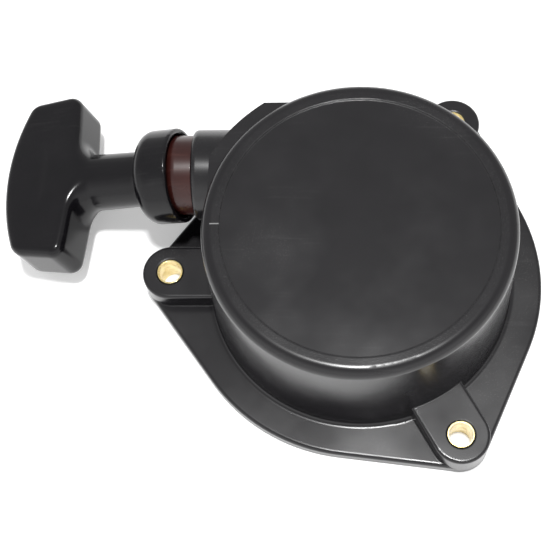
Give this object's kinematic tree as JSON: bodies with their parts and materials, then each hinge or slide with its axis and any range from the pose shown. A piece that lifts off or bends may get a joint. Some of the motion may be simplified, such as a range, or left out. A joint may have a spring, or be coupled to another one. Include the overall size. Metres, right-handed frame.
{
  "type": "recoil starter",
  "caption": "Hand-pull engine starter: round moulded cover on a three-eared flange, side rope outlet and T-handle, spring-return rope reel with outward-swinging pawls inside.",
  "frame": {"origin": "on the reel's axis, in the plane of the mounting face, which is the centre of the three ear holes", "axes": "+Z along the reel's axis, from the engine towards the closed end of the cover; the handle is pulled along -X"},
  "size_m": [0.1495, 0.1066, 0.0428],
  "materials": {
    "housing_black": "satin moulded plastic with a fine grain",
    "handle_black": "smooth moulded plastic",
    "guide_brown": "polished",
    "sleeve_brass": "turned",
    "plated_steel": "zinc plated",
    "spring_steel": "blued, oiled",
    "reel_nylon": "moulded",
    "rope_cord": "braided cord"
  },
  "bodies": {
    "cover": {"housing": "housing_black", "ear_sleeve_1": "sleeve_brass", "ear_sleeve_2": "sleeve_brass", "ear_sleeve_3": "sleeve_brass", "rope_guide": "guide_brown", "spring_case": "plated_steel", "recoil_spring": "spring_steel", "spring_plate": "plated_steel", "reel_bush": "plated_steel", "screw_washer": "plated_steel", "centre_screw": "plated_steel", "friction_spring": "spring_steel"},
    "reel": {"reel": "reel_nylon", "rope_coil": "rope_cord", "reel_knot": "rope_cord", "pawl_pin_a": "plated_steel", "pawl_pin_b": "plated_steel", "pawl_spring_a": "spring_steel", "pawl_spring_b": "spring_steel"},
    "pawl_a": {"pawl_a": "plated_steel"},
    "pawl_b": {"pawl_b": "plated_steel"},
    "ratchet_guide": {"ratchet_guide": "plated_steel"},
    "free_rope": {"rope_lead": "rope_cord"},
    "handle": {"handle": "handle_black", "handle_washer": "plated_steel", "handle_knot": "rope_cord"}
  },
  "joints": [
    {"name": "handle_pull", "type": "slide", "parent": "cover", "child": "free_rope", "axis": [-1, 0, 0], "range_m": [0, 0.6], "deforming": ["rope_lead"]},
    {"name": "handle_swing", "type": "hinge", "parent": "free_rope", "child": "handle", "pos_m": [-0.0485, 0.0237, 0.022], "axis": [0.0384, 0.9993, 0], "range_deg": [0, 14]},
    {"name": "reel_turn", "type": "hinge", "parent": "cover", "child": "reel", "pos_m": [0, 0, 0], "axis": [0, 0, 1], "range_deg": [0, 1637.02], "stiffness_Nm_per_rad": 0.004, "springref_deg": -2148.59, "deforming": ["recoil_spring"]},
    {"name": "guide_turn", "type": "hinge", "parent": "reel", "child": "ratchet_guide", "pos_m": [0, 0, 0.0083], "axis": [0, 0, -1], "range_deg": [0, 20], "stiffness_Nm_per_rad": 0.01, "springref_deg": -11.46},
    {"name": "pawl_a_swing", "type": "hinge", "parent": "reel", "child": "pawl_a", "pos_m": [0.014, 0, 0.0106], "axis": [0, 0, -1], "range_deg": [0, 37]},
    {"name": "pawl_b_swing", "type": "hinge", "parent": "reel", "child": "pawl_b", "pos_m": [-0.014, 0, 0.0106], "axis": [0, 0, -1], "range_deg": [0, 37]}
  ],
  "couplings": [
    {"joint": "reel_turn", "follows": "handle_pull", "rad_per_m": 47.619},
    {"joint": "pawl_a_swing", "follows": "guide_turn", "ratio": 1.85},
    {"joint": "pawl_b_swing", "follows": "guide_turn", "ratio": 1.85}
  ]
}
